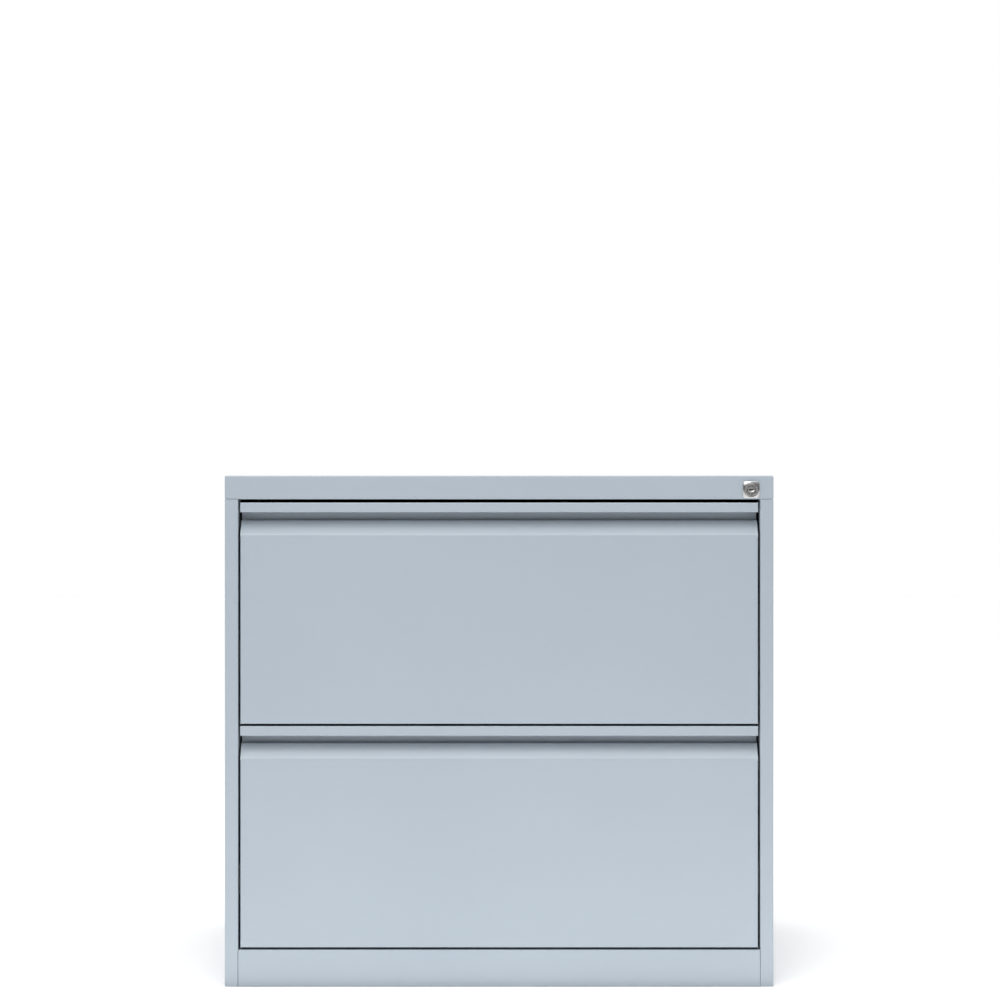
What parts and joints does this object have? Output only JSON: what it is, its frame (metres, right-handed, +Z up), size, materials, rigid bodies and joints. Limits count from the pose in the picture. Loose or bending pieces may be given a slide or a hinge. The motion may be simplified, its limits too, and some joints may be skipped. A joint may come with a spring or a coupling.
{
  "type": "filing cabinet",
  "caption": "Low wide steel filing cabinet: inset drawers for hanging files on ball slides, full-width recessed grips, top-rail lock with a sliding bar, levelling feet.",
  "frame": {"origin": "on the floor under the middle of the cabinet", "axes": "+Z up, -Y out of the drawer fronts, +X to the right of someone facing the fronts"},
  "size_m": [0.787, 0.5934, 0.733],
  "materials": {
    "cabinet_paint": "satin powder coat, light bluish grey",
    "zinc_steel": "bright zinc plate",
    "lock_chrome": "polished",
    "black_plastic": "moulded",
    "buffer_rubber": "matte"
  },
  "bodies": {
    "carcass": {"back_panel": "cabinet_paint", "base_panel": "cabinet_paint", "drawer_buffers": "buffer_rubber", "foot_brackets": "zinc_steel", "foot_nuts": "zinc_steel", "front_upright_left": "cabinet_paint", "front_upright_right": "cabinet_paint", "lock_bar_guides": "black_plastic", "lock_housing": "lock_chrome", "lock_nut": "zinc_steel", "lower_slide_outer_left": "zinc_steel", "lower_slide_outer_right": "zinc_steel", "plinth_front": "cabinet_paint", "rear_upright_left": "cabinet_paint", "rear_upright_right": "cabinet_paint", "side_panel_left": "cabinet_paint", "side_panel_right": "cabinet_paint", "top_panel": "cabinet_paint", "upper_slide_outer_left": "zinc_steel", "upper_slide_outer_right": "zinc_steel"},
    "upper_drawer": {"upper_front_panel": "cabinet_paint", "upper_front_liner": "cabinet_paint", "upper_drawer_side_left": "cabinet_paint", "upper_drawer_side_right": "cabinet_paint", "upper_drawer_bottom": "cabinet_paint", "upper_drawer_rear": "cabinet_paint", "upper_centre_rail": "cabinet_paint", "upper_lock_strike": "zinc_steel", "upper_slide_inner_left": "zinc_steel", "upper_slide_inner_right": "zinc_steel"},
    "upper_slide_middles": {"upper_slide_middle_left": "zinc_steel", "upper_slide_middle_right": "zinc_steel"},
    "upper_outer_cages": {"upper_outer_ball_cages": "zinc_steel"},
    "upper_inner_cages": {"upper_inner_ball_cages": "zinc_steel"},
    "lower_drawer": {"lower_front_panel": "cabinet_paint", "lower_front_liner": "cabinet_paint", "lower_drawer_side_left": "cabinet_paint", "lower_drawer_side_right": "cabinet_paint", "lower_drawer_bottom": "cabinet_paint", "lower_drawer_rear": "cabinet_paint", "lower_centre_rail": "cabinet_paint", "lower_lock_strike": "zinc_steel", "lower_slide_inner_left": "zinc_steel", "lower_slide_inner_right": "zinc_steel"},
    "lower_slide_middles": {"lower_slide_middle_left": "zinc_steel", "lower_slide_middle_right": "zinc_steel"},
    "lower_outer_cages": {"lower_outer_ball_cages": "zinc_steel"},
    "lower_inner_cages": {"lower_inner_ball_cages": "zinc_steel"},
    "lock_core": {"lock_plug": "lock_chrome", "lock_cam": "zinc_steel"},
    "lock_slide_bar": {"lock_bar": "zinc_steel", "lock_bar_arm": "zinc_steel", "lock_finger_upper": "zinc_steel", "lock_finger_lower": "zinc_steel"},
    "levelling_foot_front_left": {"foot_front_left": "zinc_steel"},
    "levelling_foot_front_right": {"foot_front_right": "zinc_steel"},
    "levelling_foot_rear_left": {"foot_rear_left": "zinc_steel"},
    "levelling_foot_rear_right": {"foot_rear_right": "zinc_steel"}
  },
  "joints": [
    {"name": "upper_drawer_slide", "type": "slide", "parent": "carcass", "child": "upper_drawer", "axis": [0, -1, 0], "range_m": [0, 0.54]},
    {"name": "upper_slide_middles_slide", "type": "slide", "parent": "carcass", "child": "upper_slide_middles", "axis": [0, -1, 0], "range_m": [0, 0.27]},
    {"name": "upper_outer_cages_slide", "type": "slide", "parent": "carcass", "child": "upper_outer_cages", "axis": [0, -1, 0], "range_m": [0, 0.135]},
    {"name": "upper_inner_cages_slide", "type": "slide", "parent": "carcass", "child": "upper_inner_cages", "axis": [0, -1, 0], "range_m": [0, 0.405]},
    {"name": "lower_drawer_slide", "type": "slide", "parent": "carcass", "child": "lower_drawer", "axis": [0, -1, 0], "range_m": [0, 0.54]},
    {"name": "lower_slide_middles_slide", "type": "slide", "parent": "carcass", "child": "lower_slide_middles", "axis": [0, -1, 0], "range_m": [0, 0.27]},
    {"name": "lower_outer_cages_slide", "type": "slide", "parent": "carcass", "child": "lower_outer_cages", "axis": [0, -1, 0], "range_m": [0, 0.135]},
    {"name": "lower_inner_cages_slide", "type": "slide", "parent": "carcass", "child": "lower_inner_cages", "axis": [0, -1, 0], "range_m": [0, 0.405]},
    {"name": "lock_turn", "type": "hinge", "parent": "carcass", "child": "lock_core", "pos_m": [0.3613, 0, 0.7126], "axis": [0, 1, 0], "range_deg": [0, 90]},
    {"name": "lock_bar_slide", "type": "slide", "parent": "carcass", "child": "lock_slide_bar", "axis": [0, 0, 1], "range_m": [-0.01141, 0]},
    {"name": "foot_front_left_screw", "type": "slide", "parent": "carcass", "child": "levelling_foot_front_left", "axis": [0, 0, 1], "range_m": [-0.012, 0]},
    {"name": "foot_front_right_screw", "type": "slide", "parent": "carcass", "child": "levelling_foot_front_right", "axis": [0, 0, 1], "range_m": [-0.012, 0]},
    {"name": "foot_rear_left_screw", "type": "slide", "parent": "carcass", "child": "levelling_foot_rear_left", "axis": [0, 0, 1], "range_m": [-0.012, 0]},
    {"name": "foot_rear_right_screw", "type": "slide", "parent": "carcass", "child": "levelling_foot_rear_right", "axis": [0, 0, 1], "range_m": [-0.012, 0]}
  ],
  "couplings": [
    {"joint": "upper_slide_middles_slide", "follows": "upper_drawer_slide", "ratio": 0.5},
    {"joint": "upper_outer_cages_slide", "follows": "upper_drawer_slide", "ratio": 0.25},
    {"joint": "upper_inner_cages_slide", "follows": "upper_drawer_slide", "ratio": 0.75},
    {"joint": "lower_slide_middles_slide", "follows": "lower_drawer_slide", "ratio": 0.5},
    {"joint": "lower_outer_cages_slide", "follows": "lower_drawer_slide", "ratio": 0.25},
    {"joint": "lower_inner_cages_slide", "follows": "lower_drawer_slide", "ratio": 0.75},
    {"joint": "lock_bar_slide", "follows": "lock_turn", "m_per_rad": -0.007203}
  ]
}
